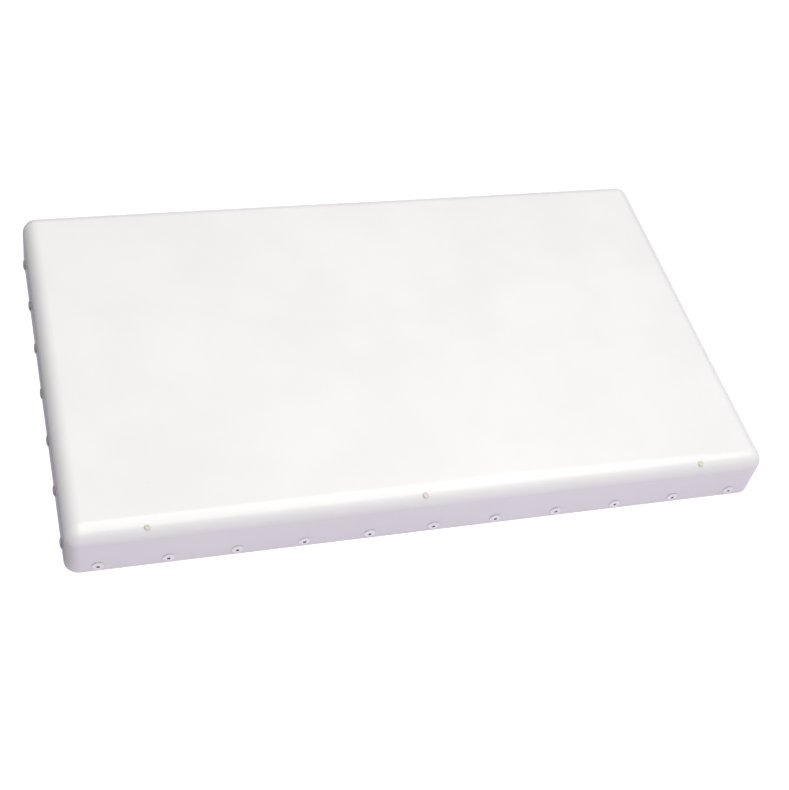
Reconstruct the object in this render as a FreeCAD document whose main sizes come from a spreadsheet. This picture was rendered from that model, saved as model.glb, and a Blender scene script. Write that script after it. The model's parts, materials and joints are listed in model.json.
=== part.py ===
import FreeCAD, Part
import math
import os
import re
import Sketcher

# Flat panel antenna, lying radome up: a formed plastic radome shell closed by an aluminium
# back plate, with a four by two array of patch elements sealed between them. Four bars
# welded under the plate's edges take the rim rivets and leave a recess at the rear.
# Frame: +Z out through the radome, X along the long side, Y along the short side, origin at
# the middle of the rear rim's plane. Millimetres.

# ---- driving dimensions -----------------------------------------------------------------
SIZES = {
    # radome shell
    "panel_length": 600,
    "panel_depth": 360,
    "panel_height": 48,
    "shell_wall": 3,
    "corner_round": 12,
    "shoulder_round": 14.5,
    # back plate, the bars welded under its edges, and the sealant bead round it
    "recess_depth": 22,
    "back_sheet": 2,
    "edge_gap": 0.2,
    "bar_thick": 3,
    "bar_lift": 1.5,
    "bead_width": 3.5,
    "bead_slope": 2,
    # blind rivets round the rim
    "rivet_row": 7,
    "rivet_end": 25,
    "rivets_long": 11,
    "rivets_short": 7,
    "rivet_radius": 2.4,
    "rivet_head_radius": 4.75,
    "rivet_head_height": 1.5,
    "rivet_tail_radius": 3.4,
    "rivet_tail_length": 3,
    "rivet_tail_chamfer": 0.8,
    "mandrel_radius": 1.3,
    "mandrel_sink": 0.8,
    "mandrel_ball": 2.2,
    "mandrel_ball_length": 1.4,
    "fit_gap": 0.05,
    # weep-hole plugs in the front shoulder; the middle one is drilled off the centre line
    "plug_end": 63,
    "plug_off_centre": 12,
    "plug_angle": 50,
    "plug_radius": 1.7,
    "plug_head_radius": 2.5,
    "plug_head_height": 1.3,
    "plug_dimple_radius": 0.5,
    "plug_dimple_depth": 0.5,
    "plug_barb": 0.4,
    "plug_barb_length": 1.6,
    "weep_overrun": 2,
    # rear mounting rails and their threaded inserts
    "rail_pitch": 200,
    "rail_length": 220,
    "rail_crown": 40,
    "rail_foot": 16,
    "rail_sheet": 2.5,
    "rail_clear": 2.5,
    "rail_rivet_pitch": 95,
    "rail_rivets": 3,
    "insert_pitch": 100,
    "insert_radius": 5.5,
    "insert_bore": 3.4,
    "insert_length": 15,
    "insert_flange": 1.5,
    "insert_flange_radius": 7,
    # feed board on standoffs, clear of the rail rivets' tails
    "board_trim_ends": 20,
    "board_trim_sides": 25,
    "board_thick": 1.6,
    "board_screw_columns": 4,
    "board_screw_edge": 7,
    "tail_clear": 0.6,
    "standoff_radius": 3,
    "screw_radius": 1.5,
    "screw_head_radius": 2.8,
    "screw_head_height": 2,
    "screw_head_chamfer": 0.7,
    "screw_bite": 4,
    # patch elements
    "patch_columns": 4,
    "patch_rows": 2,
    "array_margin": 30,
    "driven_side": 66,
    "parasitic_side": 58,
    "patch_sheet": 1,
    "spacer_radius": 4,
    "spacer_lower": 4.5,
    "spacer_upper": 4,
    "probe_offset": 16,
    "probe_radius": 0.65,
    "track_width": 4,
    "track_thick": 0.2,
    # beam-shaping fences and radome props
    "fence_reach": 10,
    "fence_offset": 15,
    "fence_height": 16,
    "fence_foot": 10,
    "fence_sheet": 1.5,
    "prop_radius": 5,
    "prop_foot_radius": 9,
    "prop_foot": 2,
    "prop_offset": 20,
    # N-type jack
    "jack_inset": 15,
    "jack_flange_side": 25.4,
    "jack_flange": 1.6,
    "jack_gasket": 1,
    "jack_reach": 18.9,
    "jack_thread_radius": 7.94,
    "jack_thread_length": 12,
    "jack_neck_radius": 7.1,
    "jack_spigot_radius": 5.3,
    "jack_bore": 4.2,
    "jack_bore_depth": 10.5,
    "jack_screw_pitch": 18.3,
    "jack_nut_radius": 3.1,
    "jack_nut_height": 2.4,
    "contact_radius": 1.52,
    "contact_bore": 0.83,
    "contact_sink": 2.5,
    "contact_bore_depth": 6,
    "contact_tail": 1,
    # breather vent and blank plate on the back
    "vent_radius": 9,
    "vent_height": 6,
    "vent_chamfer": 1.5,
    "vent_stem_radius": 5.9,
    "vent_nut_radius": 9,
    "vent_nut_height": 3.5,
    "plate_length": 90,
    "plate_depth": 50,
    "plate_thick": 0.5,
    "plate_round": 2,
}

# ---- places that follow from the driving dimensions ---------------------------------------
PLACES = {
    "floor_top": "recess_depth + back_sheet",
    "inside_length": "panel_length - 2 * shell_wall",
    "inside_depth": "panel_depth - 2 * shell_wall",
    "inside_round": "corner_round - shell_wall",
    "back_length": "inside_length - 2 * edge_gap",
    "back_depth": "inside_depth - 2 * edge_gap",
    "back_round": "inside_round - edge_gap",
    "ceiling": "panel_height - shell_wall",
    "pitch_long": "(panel_length - 2 * rivet_end) / (rivets_long - 1)",
    "pitch_short": "(panel_depth - 2 * rivet_end) / (rivets_short - 1)",
    "rim_grip": "shell_wall + edge_gap + bar_thick",
    "rail_grip": "rail_sheet + back_sheet",
    "dome_ball": "(rivet_head_radius ^ 2 + rivet_head_height ^ 2) / (2 * rivet_head_height)",
    "dome_lip": "sqrt(dome_ball ^ 2 - mandrel_bore ^ 2) - dome_ball + rivet_head_height",
    "mandrel_bore": "mandrel_radius + fit_gap",
    "rivet_hole": "rivet_radius + fit_gap",
    "plug_hole": "plug_radius + fit_gap",
    "plug_place": "panel_length / 2 - plug_end",
    "shoulder_back": "panel_depth / 2 - shoulder_round",
    "shoulder_low": "panel_height - shoulder_round",
    "crown_inner": "rail_clear + rail_sheet",
    "rail_rivet_across": "rail_crown + rail_foot",
    "insert_hole": "insert_radius + fit_gap",
    "patch_pitch_long": "(panel_length - 2 * array_margin) / patch_columns",
    "patch_pitch_short": "(panel_depth - 2 * array_margin) / patch_rows",
    "board_length": "patch_columns * patch_pitch_long - 2 * board_trim_ends",
    "board_depth": "patch_rows * patch_pitch_short - 2 * board_trim_sides",
    "board_screw_pitch": "(board_length - 2 * board_screw_edge) / (board_screw_columns - 1)",
    "board_screw_rows": "board_depth - 2 * board_screw_edge",
    "standoff_height": "rivet_tail_length + mandrel_ball_length + tail_clear",
    "board_low": "floor_top + standoff_height",
    "board_top": "board_low + board_thick",
    "screw_hole": "screw_radius + fit_gap",
    "driven_low": "board_top + spacer_lower",
    "driven_top": "driven_low + patch_sheet",
    "parasitic_low": "driven_top + spacer_upper",
    "parasitic_top": "parasitic_low + patch_sheet",
    "track_top": "board_top + track_thick",
    "probe_hole": "probe_radius + fit_gap",
    "row_far": "patch_pitch_short / 2",
    "column_first": "-(patch_columns - 1) / 2 * patch_pitch_long",
    "branch": "patch_pitch_long * patch_columns / 4",
    "fence_length": "board_length + 2 * fence_reach",
    "fence_place": "board_depth / 2 + fence_offset",
    "prop_end_place": "board_length / 2 + prop_offset",
    "jack_place": "board_depth / 2 - jack_inset",
    "jack_face": "recess_depth - jack_gasket",
    "jack_back": "jack_face - jack_flange",
    "jack_end": "jack_back - jack_reach",
    "spigot_hole": "jack_spigot_radius + fit_gap",
    "contact_end": "jack_end + contact_sink",
    "insulator_low": "jack_end + jack_bore_depth",
    "vent_hole": "vent_stem_radius + fit_gap",
    "rail_edge": "rail_pitch / 2 + rail_crown / 2 + rail_foot",
    "end_middle": "(rail_edge + panel_length / 2) / 2",
}

doc = FreeCAD.newDocument("panel_antenna")
dims = doc.addObject("Spreadsheet::Sheet", "dims")
for row, (word, number) in enumerate(SIZES.items(), start=1):
    dims.set(f"A{row}", word)
    dims.set(f"B{row}", str(number))
    dims.setAlias(f"B{row}", word)
doc.recompute()

pieces = []


# ---- helpers -----------------------------------------------------------------------------
def spelled(text):
    """Write an expression out, with every place worked out and every size read from the sheet."""
    def swap(match):
        word = match.group(0)
        if word in PLACES:
            return "(" + spelled(PLACES[word]) + ")"
        return "dims." + word if word in SIZES else word
    return re.sub(r"[a-z][a-z_]*", swap, text)


def bind(thing, prop, text):
    """Tie a property to an expression in the sheet's names."""
    thing.setExpression(prop, spelled(text))


def worth(text):
    """The number that an expression has now."""
    return float(dims.evalExpression(spelled(text)))


def new_body(name):
    """An empty body for one node, which may hold several like solids."""
    body = doc.addObject("PartDesign::Body", name)
    body.Label = name
    body.AllowCompound = True
    pieces.append(body)
    return body


def origin_part(body, role):
    """One of the body's own planes or axes."""
    return next(item for item in body.Origin.OriginFeatures if item.Role == role)


def new_sketch(body, role="XY_Plane", at=("0", "0", "0"), turn=0):
    """A sketch on an origin plane, shifted by at in the plane's own axes and turned about its normal."""
    sketch = body.newObject("Sketcher::SketchObject", "sketch")
    sketch.AttachmentSupport = [(origin_part(body, role), "")]
    sketch.MapMode = "FlatFace"
    turned = FreeCAD.Rotation(FreeCAD.Vector(0, 0, 1), turn)
    sketch.AttachmentOffset = FreeCAD.Placement(FreeCAD.Vector(0, 0, 0), turned)
    for axis, text in zip("xyz", at):
        bind(sketch, f".AttachmentOffset.Base.{axis}", text)
    return sketch


def fix(sketch, geometry, point, place):
    """Hold one point of a sketch at a place given as two expressions."""
    for kind, text in zip(("DistanceX", "DistanceY"), place):
        rule = sketch.addConstraint(
            Sketcher.Constraint(kind, -1, 1, geometry, point, worth(text))
        )
        bind(sketch, f"Constraints[{rule}]", text)


def arc_between(start, end, radius, side):
    """A circular arc from start to end, bulging to the right (1) or left (-1) of the way there."""
    chord = end - start
    across = FreeCAD.Vector(-chord.y, chord.x, 0).normalize()
    middle = (start + end) * 0.5
    rise = math.sqrt(radius ** 2 - (chord.Length / 2) ** 2)
    centre = middle + across * (rise * side)
    top = centre - across * (radius * side)
    return Part.Arc(start, top, end)


def outline(sketch, points):
    """A closed outline. A point is (x, y), or (x, y, radius, side) where an arc leaves it."""
    first = sketch.GeometryCount
    spots = [FreeCAD.Vector(worth(p[0]), worth(p[1]), 0) for p in points]
    count = len(points)
    ends = []
    for number, point in enumerate(points):
        start, end = spots[number], spots[(number + 1) % count]
        if len(point) == 2:
            sketch.addGeometry(Part.LineSegment(start, end))
            ends.append((1, 2))
        else:
            index = sketch.addGeometry(arc_between(start, end, worth(point[2]), point[3]))
            flipped = sketch.getPoint(index, 1).distanceToPoint(start) > 1e-6
            ends.append((2, 1) if flipped else (1, 2))
            rule = sketch.addConstraint(Sketcher.Constraint("Radius", index, worth(point[2])))
            bind(sketch, f"Constraints[{rule}]", point[2])
    for number in range(count):
        after = (number + 1) % count
        sketch.addConstraint(
            Sketcher.Constraint(
                "Coincident", first + number, ends[number][1], first + after, ends[after][0]
            )
        )
    for number, point in enumerate(points):
        fix(sketch, first + number, ends[number][0], point[:2])


def rectangle(sketch, length, depth, middle=("0", "0")):
    """A rectangle of the given sides about a middle."""
    left, right = f"{middle[0]} - ({length}) / 2", f"{middle[0]} + ({length}) / 2"
    low, high = f"{middle[1]} - ({depth}) / 2", f"{middle[1]} + ({depth}) / 2"
    outline(sketch, [(left, low), (right, low), (right, high), (left, high)])


def rounded_rectangle(sketch, length, depth, radius):
    """A rectangle of the given sides about the sketch's origin, with round corners."""
    x, y, radius = f"({length}) / 2", f"({depth}) / 2", f"({radius})"
    outline(sketch, [
        (f"{radius} - {x}", f"-{y}"),
        (f"{x} - {radius}", f"-{y}", radius, 1),
        (x, f"{radius} - {y}"),
        (x, f"{y} - {radius}", radius, 1),
        (f"{x} - {radius}", y),
        (f"{radius} - {x}", y, radius, 1),
        (f"-{x}", f"{y} - {radius}"),
        (f"-{x}", f"{radius} - {y}", radius, 1),
    ])


def circle(sketch, radius, middle=("0", "0")):
    """A circle of the given radius about a middle."""
    spot = FreeCAD.Vector(worth(middle[0]), worth(middle[1]), 0)
    index = sketch.addGeometry(Part.Circle(spot, FreeCAD.Vector(0, 0, 1), worth(radius)))
    fix(sketch, index, 3, middle)
    rule = sketch.addConstraint(Sketcher.Constraint("Radius", index, worth(radius)))
    bind(sketch, f"Constraints[{rule}]", radius)


def pad(body, sketch, length, both_ways=False):
    """Raise a sketch into a solid."""
    feature = body.newObject("PartDesign::Pad", "pad")
    feature.Profile = sketch
    bind(feature, "Length", length)
    if both_ways:
        feature.SideType = "Symmetric"
    doc.recompute()
    return feature


def checked_cut(body, feature, before):
    """Stop if a cut took nothing away."""
    doc.recompute()
    if not body.Shape.Volume < before - 1e-6:
        raise RuntimeError(f"{body.Label}: {feature.Name} cut nothing")
    return feature


def pocket(body, sketch, depth, upward=True):
    """Cut a sketch to a depth along the plane's normal (upward) or against it."""
    before = body.Shape.Volume
    feature = body.newObject("PartDesign::Pocket", "pocket")
    feature.Profile = sketch
    bind(feature, "Length", depth)
    feature.Reversed = upward
    return checked_cut(body, feature, before)


def drill(body, sketch):
    """Cut a sketch through everything, on both sides of its plane."""
    before = body.Shape.Volume
    feature = body.newObject("PartDesign::Pocket", "drill")
    feature.Profile = sketch
    feature.Type = "ThroughAll"
    feature.SideType = "Symmetric"
    return checked_cut(body, feature, before)


def turn(body, sketch):
    """Spin a sketch about its own vertical axis."""
    feature = body.newObject("PartDesign::Revolution", "turn")
    feature.Profile = sketch
    feature.ReferenceAxis = (sketch, ["V_Axis"])
    feature.Angle = 360
    doc.recompute()
    return feature


def repeat(body, feature, axis, count, pitch, backward=False):
    """Repeat a feature along one of the body's own axes."""
    pattern = body.newObject("PartDesign::LinearPattern", "row")
    pattern.Originals = [feature]
    pattern.Direction = (origin_part(body, axis), [""])
    pattern.Mode = "Spacing"
    bind(pattern, "Offset", pitch)
    bind(pattern, "Occurrences", count)
    pattern.Reversed = backward
    body.Tip = pattern
    doc.recompute()
    return pattern


def grid(body, feature, columns, column_pitch, rows, row_pitch):
    """Repeat a feature over a grid, along +X and then +Y."""
    pattern = repeat(body, feature, "X_Axis", columns, column_pitch)
    pattern.Direction2 = (origin_part(body, "Y_Axis"), [""])
    pattern.Mode2 = "Spacing"
    bind(pattern, "Offset2", row_pitch)
    bind(pattern, "Occurrences2", rows)
    doc.recompute()
    return pattern


def soften(body, size, chosen, kind="Fillet"):
    """Fillet or chamfer the edges of the body that chosen picks."""
    base = body.Tip
    names = [f"Edge{n}" for n, edge in enumerate(base.Shape.Edges, start=1) if chosen(edge)]
    feature = body.newObject(f"PartDesign::{kind}", "edges")
    feature.Base = (base, names)
    bind(feature, "Radius" if kind == "Fillet" else "Size", size)
    doc.recompute()
    return feature


def upright(edge):
    """True of a straight edge along Z."""
    box = edge.BoundBox
    return box.XLength < 1e-6 and box.YLength < 1e-6


def level_at(text):
    """A test for edges that lie flat at one height."""
    height = worth(text)
    return lambda edge: abs(edge.BoundBox.ZMin - height) < 1e-6 and edge.BoundBox.ZLength < 1e-6


# ---- radome, back plate and bars ---------------------------------------------------------
PLUG_PLACES = ("-plug_place", "-plug_off_centre", "plug_place")
# any lean about X, whose angle is then bound
LEANED = FreeCAD.Placement(FreeCAD.Vector(0, 0, 0), FreeCAD.Rotation(FreeCAD.Vector(1, 0, 0), 1))


def rivet_row(body, role, axis, count, pitch):
    """A row of rivet holes through everything on one axis."""
    sketch = new_sketch(body, role)
    circle(sketch, "rivet_hole", (f"-({count} - 1) / 2 * {pitch}", "rivet_row"))
    repeat(body, drill(body, sketch), axis, count, pitch)


def make_radome():
    """The formed plastic shell: a flat face, one large shoulder all round and straight walls."""
    body = new_body("radome")
    block = new_sketch(body)
    rounded_rectangle(block, "panel_length", "panel_depth", "corner_round")
    pad(body, block, "panel_height")
    hollow = new_sketch(body)
    rounded_rectangle(hollow, "inside_length", "inside_depth", "inside_round")
    pocket(body, hollow, "ceiling")
    soften(body, "shoulder_round - shell_wall", level_at("ceiling"))
    soften(body, "shoulder_round", level_at("panel_height"))
    rivet_row(body, "XZ_Plane", "X_Axis", "rivets_long", "pitch_long")
    rivet_row(body, "YZ_Plane", "Y_Axis", "rivets_short", "pitch_short")
    inner = "(shoulder_round - shell_wall - weep_overrun)"
    for place in PLUG_PLACES:
        weep = body.newObject("PartDesign::SubtractiveCylinder", "weep_hole")
        bind(weep, "Radius", "plug_hole")
        bind(weep, "Height", "shell_wall + 2 * weep_overrun")
        weep.Placement = LEANED
        bind(weep, ".Placement.Base.x", place)
        bind(weep, ".Placement.Base.y", f"-shoulder_back - {inner} * cos(plug_angle)")
        bind(weep, ".Placement.Base.z", f"shoulder_low + {inner} * sin(plug_angle)")
        bind(weep, ".Placement.Rotation.Angle", "90 - plug_angle")
        doc.recompute()


def make_back_plate():
    """The flat aluminium plate that closes the radome and is the array's ground plane."""
    body = new_body("back_plate")
    sheet = new_sketch(body, at=("0", "0", "recess_depth"))
    rounded_rectangle(sheet, "back_length", "back_depth", "back_round")
    pad(body, sheet, "back_sheet")
    for side in (-1, 1):
        rail_hole = new_sketch(body)
        for edge in (-1, 1):
            across = f"{side} * rail_pitch / 2 + {edge} * rail_rivet_across / 2"
            circle(rail_hole, "rivet_hole", (across, "-(rail_rivets - 1) / 2 * rail_rivet_pitch"))
        repeat(body, drill(body, rail_hole), "Y_Axis", "rail_rivets", "rail_rivet_pitch")
    openings = new_sketch(body)
    circle(openings, "spigot_hole", ("0", "-jack_place"))
    circle(openings, "vent_hole", ("-end_middle", "0"))
    for corner in jack_corners():
        circle(openings, "screw_hole", corner)
    drill(body, openings)


def make_rim_bars():
    """The four flat bars that stand on edge inside the radome's walls, between its corners."""
    height = "recess_depth - bar_lift"
    for name, side in (("front", -1), ("rear", 1)):
        body = new_body(f"rim_bar_{name}")
        strip = new_sketch(body, at=("0", "0", "bar_lift"))
        middle = ("0", f"{side} * (back_depth - bar_thick) / 2")
        rectangle(strip, "back_length - 2 * back_round", "bar_thick", middle)
        pad(body, strip, height)
        rivet_row(body, "XZ_Plane", "X_Axis", "rivets_long", "pitch_long")
    for name, side in (("left", -1), ("right", 1)):
        body = new_body(f"rim_bar_{name}")
        strip = new_sketch(body, at=("0", "0", "bar_lift"))
        middle = (f"{side} * (back_length - bar_thick) / 2", "0")
        rectangle(strip, "bar_thick", "back_depth - 2 * back_round", middle)
        pad(body, strip, height)
        rivet_row(body, "YZ_Plane", "Y_Axis", "rivets_short", "pitch_short")


def make_seal_bead():
    """The sealant bead in the corner between the back plate and the radome's wall."""
    body = new_body("seal_bead")
    ring = new_sketch(body, at=("0", "0", "floor_top"))
    rounded_rectangle(ring, "inside_length", "inside_depth", "inside_round")
    open_length, open_depth = "inside_length - 2 * bead_width", "inside_depth - 2 * bead_width"
    rounded_rectangle(ring, open_length, open_depth, "inside_round - bead_width")
    pad(body, ring, "bead_width")
    reach = worth("inside_length / 2 - bead_width") + 1e-6
    breadth = worth("inside_depth / 2 - bead_width") + 1e-6
    top = level_at("floor_top + bead_width")

    def inner(edge):
        box = edge.BoundBox
        inside = max(-box.XMin, box.XMax) < reach and max(-box.YMin, box.YMax) < breadth
        return top(edge) and inside

    soften(body, "bead_slope", inner, "Chamfer")


# ---- rivets ------------------------------------------------------------------------------
def rivet_outline(grip):
    """Half of a set blind rivet: domed head, shank through the grip, folded tail."""
    end = f"{grip} + rivet_tail_length"
    return [
        ("mandrel_bore", "-dome_lip"),
        ("mandrel_bore", end),
        ("rivet_tail_radius - rivet_tail_chamfer", end),
        ("rivet_tail_radius", f"{end} - rivet_tail_chamfer"),
        ("rivet_tail_radius", grip),
        ("rivet_radius", grip),
        ("rivet_radius", "0"),
        ("rivet_head_radius", "0", "dome_ball", -1),
    ]


def mandrel_outline(grip):
    """Half of the broken mandrel left in a rivet: stem, and the ball that formed the tail."""
    end = f"{grip} + rivet_tail_length"
    return [
        ("0", "mandrel_sink - dome_lip"),
        ("mandrel_radius", "mandrel_sink - dome_lip"),
        ("mandrel_radius", end),
        ("mandrel_ball", end),
        ("mandrel_ball", f"{end} + mandrel_ball_length / 2"),
        ("mandrel_radius", f"{end} + mandrel_ball_length"),
        ("0", f"{end} + mandrel_ball_length"),
    ]


START_LONG = "(rivets_long - 1) / 2 * pitch_long"
START_SHORT = "(rivets_short - 1) / 2 * pitch_short"
RIM_SIDES = {
    # side: (turn of the row, where its first rivet sits on the wall, the row's axis,
    #        whether it runs backward, count, pitch)
    "front": (0, (f"-{START_LONG}", "-panel_depth / 2"), "X_Axis", False, "rivets_long", "pitch_long"),
    "right": (90, ("panel_length / 2", f"-{START_SHORT}"), "Y_Axis", False, "rivets_short", "pitch_short"),
    "rear": (180, (START_LONG, "panel_depth / 2"), "X_Axis", True, "rivets_long", "pitch_long"),
    "left": (270, ("-panel_length / 2", START_SHORT), "Y_Axis", True, "rivets_short", "pitch_short"),
}


def make_rim_row(name, side, profile):
    """One side's row of rivets, or of the mandrels in them."""
    angle, first, axis, backward, count, pitch = RIM_SIDES[side]
    body = new_body(f"{name}_{side}")
    sketch = new_sketch(body, at=(*first, "rivet_row"), turn=angle)
    outline(sketch, profile)
    repeat(body, turn(body, sketch), axis, count, pitch, backward)


def make_rail_fixings(name, profile):
    """The rivets that hold the rails' feet to the back plate, or the mandrels in them."""
    body = new_body(name)
    sketches = []
    for side in (-1, 1):
        for edge in (-1, 1):
            across = f"{side} * rail_pitch / 2 + {edge} * rail_rivet_across / 2"
            start = "(rail_rivets - 1) / 2 * rail_rivet_pitch"
            sketch = new_sketch(body, "XZ_Plane", (across, "recess_depth - rail_sheet", start))
            outline(sketch, profile)
            sketches.append(turn(body, sketch))
    pattern = repeat(body, sketches[0], "Y_Axis", "rail_rivets", "rail_rivet_pitch")
    pattern.Originals = sketches
    doc.recompute()


# ---- weep plugs --------------------------------------------------------------------------
def make_weep_plugs():
    """Three push-in plugs whose small heads stand on the front shoulder."""
    body = new_body("weep_plugs")
    tip = "-shell_wall - plug_barb_length"
    for place in PLUG_PLACES:
        sketch = new_sketch(body, "XZ_Plane", (place, "0", "0"))
        outline(sketch, [
            ("0", tip),
            ("plug_radius - plug_barb", tip),
            ("plug_radius + plug_barb", "-shell_wall - plug_barb"),
            ("plug_radius", "-shell_wall - plug_barb"),
            ("plug_radius", "0"),
            ("plug_head_radius", "0"),
            ("plug_head_radius", "plug_head_height / 2"),
            ("plug_head_radius - plug_head_height / 2", "plug_head_height"),
            ("plug_dimple_radius", "plug_head_height"),
            ("0", "plug_head_height - plug_dimple_depth"),
        ])
        turn(body, sketch)
    body.Placement = LEANED
    bind(body, ".Placement.Base.y", "-shoulder_back - shoulder_round * cos(plug_angle)")
    bind(body, ".Placement.Base.z", "shoulder_low + shoulder_round * sin(plug_angle)")
    bind(body, ".Placement.Rotation.Angle", "90 - plug_angle")
    doc.recompute()


# ---- mounting rails ----------------------------------------------------------------------
def make_rail(name, side):
    """A hat-section rail whose crown brings the mounting face out to the rim."""
    body = new_body(name)
    hat = new_sketch(body, "XZ_Plane", (f"{side} * rail_pitch / 2", "0", "0"))
    foot, web = "(rail_crown / 2 + rail_foot)", "(rail_crown / 2)"
    inner = "(rail_crown / 2 - rail_sheet)"
    outline(hat, [
        (f"-{foot}", "recess_depth"),
        (f"-{inner}", "recess_depth"),
        (f"-{inner}", "crown_inner"),
        (inner, "crown_inner"),
        (inner, "recess_depth"),
        (foot, "recess_depth"),
        (foot, "recess_depth - rail_sheet"),
        (web, "recess_depth - rail_sheet"),
        (web, "rail_clear"),
        (f"-{web}", "rail_clear"),
        (f"-{web}", "recess_depth - rail_sheet"),
        (f"-{foot}", "recess_depth - rail_sheet"),
    ])
    pad(body, hat, "rail_length", both_ways=True)
    soften(body, "rail_sheet", lambda edge: level_at("rail_clear")(edge) and edge.BoundBox.XLength < 1e-6)
    feet = new_sketch(body)
    for edge in (-1, 1):
        across = f"{side} * rail_pitch / 2 + {edge} * rail_rivet_across / 2"
        circle(feet, "rivet_hole", (across, "-(rail_rivets - 1) / 2 * rail_rivet_pitch"))
    repeat(body, drill(body, feet), "Y_Axis", "rail_rivets", "rail_rivet_pitch")
    crown = new_sketch(body)
    for end in (-1, 1):
        circle(crown, "insert_hole", (f"{side} * rail_pitch / 2", f"{end} * insert_pitch / 2"))
    drill(body, crown)


def make_rail_inserts():
    """The four threaded inserts in the rails' crowns, bored at the thread's tapping size."""
    body = new_body("rail_inserts")
    end = "rail_clear + insert_length"
    sketch = new_sketch(body, "XZ_Plane", ("-rail_pitch / 2", "0", "insert_pitch / 2"))
    outline(sketch, [
        ("insert_bore", "rail_clear - insert_flange"),
        ("insert_bore", end),
        ("insert_radius", end),
        ("insert_radius", "rail_clear"),
        ("insert_flange_radius", "rail_clear"),
        ("insert_flange_radius", "rail_clear - insert_flange"),
    ])
    grid(body, turn(body, sketch), "2", "rail_pitch", "2", "insert_pitch")


# ---- feed board --------------------------------------------------------------------------
BOARD_SCREW_FIRST = ("-(board_screw_columns - 1) / 2 * board_screw_pitch", "-board_screw_rows / 2")
PATCH_FIRST = ("column_first", "-row_far")


def board_grid(body, feature):
    """Repeat a feature at each of the board's edge screws."""
    return grid(body, feature, "board_screw_columns", "board_screw_pitch", "2", "board_screw_rows")


def patch_grid(body, feature):
    """Repeat a feature at each element of the array."""
    return grid(body, feature, "patch_columns", "patch_pitch_long", "patch_rows", "patch_pitch_short")


def make_feed_board():
    """The circuit board that carries the feed network, drilled for screws, probes and the jack."""
    body = new_body("feed_board")
    sheet = new_sketch(body, at=("0", "0", "board_low"))
    rectangle(sheet, "board_length", "board_depth")
    pad(body, sheet, "board_thick")
    edge_hole = new_sketch(body)
    circle(edge_hole, "screw_hole", BOARD_SCREW_FIRST)
    board_grid(body, drill(body, edge_hole))
    element_holes = new_sketch(body)
    circle(element_holes, "screw_hole", PATCH_FIRST)
    circle(element_holes, "probe_hole", (PATCH_FIRST[0], f"{PATCH_FIRST[1]} - probe_offset"))
    patch_grid(body, drill(body, element_holes))
    single = new_sketch(body)
    circle(single, "probe_hole", ("0", "-jack_place"))
    circle(single, "prop_radius + fit_gap", ("0", "row_far"))
    drill(body, single)


def make_feed_tracks():
    """The copper feed: a trunk from the jack, two branches, and a line under each row's probes."""
    body = new_body("feed_tracks")
    low_row, high_row = "-row_far - probe_offset", "row_far - probe_offset"
    half = "track_width / 2"
    line = new_sketch(body, at=("0", "0", "board_top"))
    rectangle(line, "track_width", f"jack_place + {half}", ("0", f"({half} - jack_place) / 2"))
    pad(body, line, "track_thick")
    cross = new_sketch(body, at=("0", "0", "board_top"))
    rectangle(cross, "2 * branch + track_width", "track_width", ("0", "track_width"))
    pad(body, cross, "track_thick")
    for side in (-1, 1):
        riser = new_sketch(body, at=("0", "0", "board_top"))
        rectangle(riser, "track_width", "2 * row_far", (f"{side} * branch", "-probe_offset"))
        pad(body, riser, "track_thick")
        for height in (low_row, high_row):
            line = new_sketch(body, at=("0", "0", "board_top"))
            rectangle(line, "patch_pitch_long + 2 * track_width", "track_width", (f"{side} * branch", height))
            pad(body, line, "track_thick")
    holes = new_sketch(body)
    circle(holes, "probe_hole", (PATCH_FIRST[0], f"{PATCH_FIRST[1]} - probe_offset"))
    patch_grid(body, drill(body, holes))
    tail = new_sketch(body)
    circle(tail, "probe_hole", ("0", "-jack_place"))
    drill(body, tail)


def turned_grid(name, profile, first, spread):
    """A node of like turned pieces: a half outline of (radius, height) spun at every place."""
    body = new_body(name)
    sketch = new_sketch(body, "XZ_Plane", (first[0], "0", f"-({first[1]})"))
    outline(sketch, profile)
    spread(body, turn(body, sketch))


def tube(inner, outer, low, high):
    """Half the outline of a plain tube."""
    return [(inner, low), (outer, low), (outer, high), (inner, high)]


def screw(under_head, length):
    """Half the outline of a pan-head screw pointing down."""
    top = f"{under_head} + screw_head_height"
    return [
        ("0", f"{under_head} - {length}"),
        ("screw_radius", f"{under_head} - {length}"),
        ("screw_radius", under_head),
        ("screw_head_radius", under_head),
        ("screw_head_radius", f"{top} - screw_head_chamfer"),
        ("screw_head_radius - screw_head_chamfer", top),
        ("0", top),
    ]


def make_fixings():
    """Standoffs, spacers, screws and probes of the board and the elements."""
    standoff = tube("screw_hole", "standoff_radius", "floor_top", "board_low")
    turned_grid("board_standoffs", standoff, BOARD_SCREW_FIRST, board_grid)
    turned_grid("patch_standoffs", standoff, PATCH_FIRST, patch_grid)
    board_screw = screw("board_top", "(board_thick + screw_bite)")
    turned_grid("board_screws", board_screw, BOARD_SCREW_FIRST, board_grid)
    lower = tube("screw_hole", "spacer_radius", "board_top", "driven_low")
    turned_grid("patch_spacers_lower", lower, PATCH_FIRST, patch_grid)
    upper = tube("screw_hole", "spacer_radius", "driven_top", "parasitic_low")
    turned_grid("patch_spacers_upper", upper, PATCH_FIRST, patch_grid)
    long_screw = screw("parasitic_top", "(parasitic_top - board_low + screw_bite)")
    turned_grid("patch_screws", long_screw, PATCH_FIRST, patch_grid)
    probe_first = (PATCH_FIRST[0], f"{PATCH_FIRST[1]} - probe_offset")
    probe = tube("0", "probe_radius", "board_low", "driven_top")
    turned_grid("feed_probes", probe, probe_first, patch_grid)


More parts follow.
